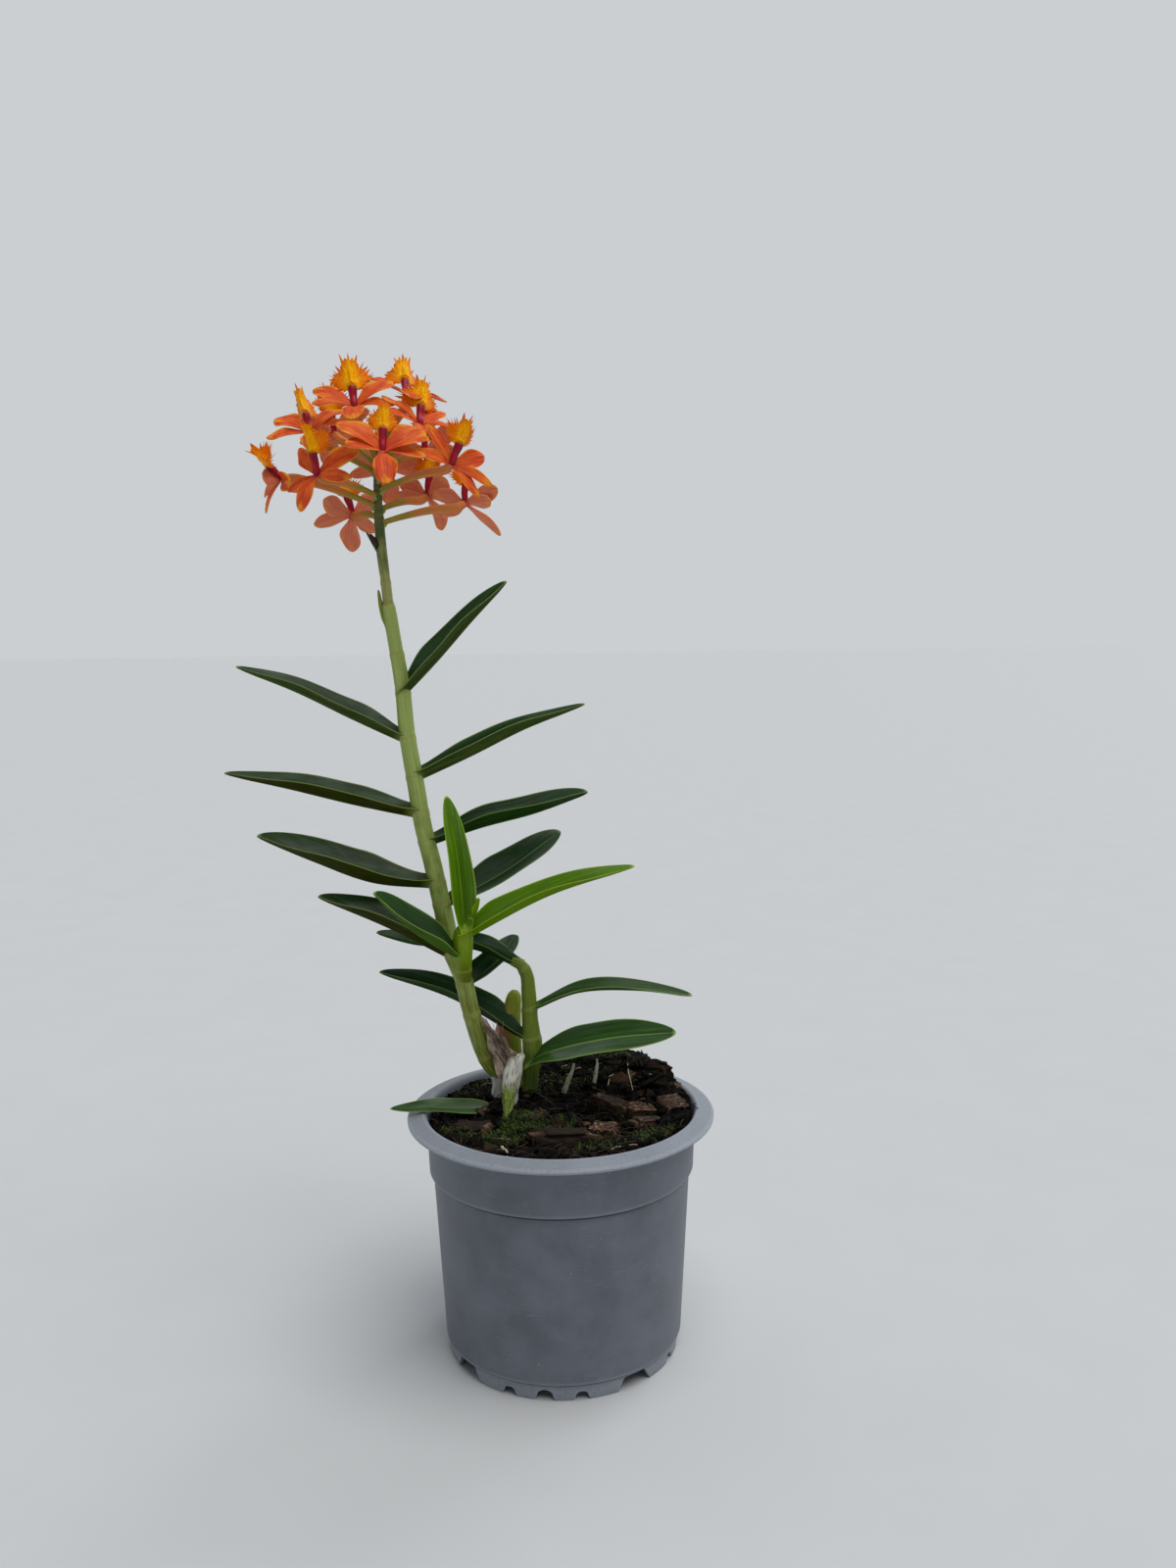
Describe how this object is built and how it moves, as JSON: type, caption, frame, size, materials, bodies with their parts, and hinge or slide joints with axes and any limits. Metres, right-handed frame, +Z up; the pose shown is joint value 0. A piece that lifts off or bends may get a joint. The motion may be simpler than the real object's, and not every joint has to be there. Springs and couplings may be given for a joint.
{
  "type": "epidendrum orchid in a nursery pot",
  "caption": "Flowering reed-stem orchid with leafy canes and a head of orange flowers, rooted in bark mix in a round plastic nursery pot; stands on a shelf or table.",
  "frame": {"origin": "middle of the bounding box's underside, at the height of the surface that the pot's foot stands on", "axes": "+Z up along the pot's axis, +X to the right seen from the front, +Y towards the back; the pot's axis is at x = +34 mm"},
  "size_m": [0.1882, 0.12, 0.3782],
  "materials": {
    "pot_plastic": "satin",
    "potting_mix": "matte",
    "bark": "matte",
    "cane": "satin",
    "leaf": "satin",
    "young_leaf": "satin",
    "root": "matte",
    "dry_husk": "matte",
    "flower": "satin"
  },
  "bodies": {
    "root": {"pot": "pot_plastic", "potting_mix": "potting_mix", "bark_chip_1": "bark", "bark_chip_2": "bark", "bark_chip_3": "bark", "bark_chip_4": "bark", "bark_chip_5": "bark", "bark_chip_6": "bark", "bark_chip_7": "bark", "bark_chip_8": "bark", "bark_chip_9": "bark", "main_cane": "cane", "flower_stalk": "cane", "side_shoot": "cane", "second_cane": "cane", "young_shoot": "cane", "rhizome": "cane", "aerial_root_front": "root", "aerial_root_right": "root", "aerial_root_back": "root", "short_root_left": "root", "short_root_right": "root", "leaf_right_1": "leaf", "leaf_right_2": "leaf", "leaf_right_3": "leaf", "leaf_right_4": "leaf", "leaf_right_5": "leaf", "leaf_left_1": "leaf", "leaf_left_2": "leaf", "leaf_left_3": "leaf", "leaf_left_4": "leaf", "side_leaf_upright": "young_leaf", "side_leaf_right": "young_leaf", "side_leaf_left": "young_leaf", "side_leaf_inner": "young_leaf", "second_leaf_top": "leaf", "second_leaf_left": "leaf", "second_leaf_arched": "leaf", "second_leaf_low": "leaf", "rim_leaf": "leaf", "dry_sheath": "dry_husk", "cane_top_sheath": "cane", "stalk_bract": "cane", "withered_bud": "dry_husk", "flower_1": "flower", "flower_2": "flower", "flower_3": "flower", "flower_4": "flower", "flower_5": "flower", "flower_6": "flower", "flower_7": "flower", "flower_8": "flower", "flower_9": "flower", "flower_10": "flower", "flower_11": "flower", "flower_12": "flower", "flower_13": "flower", "flower_14": "flower"}
  },
  "joints": []
}
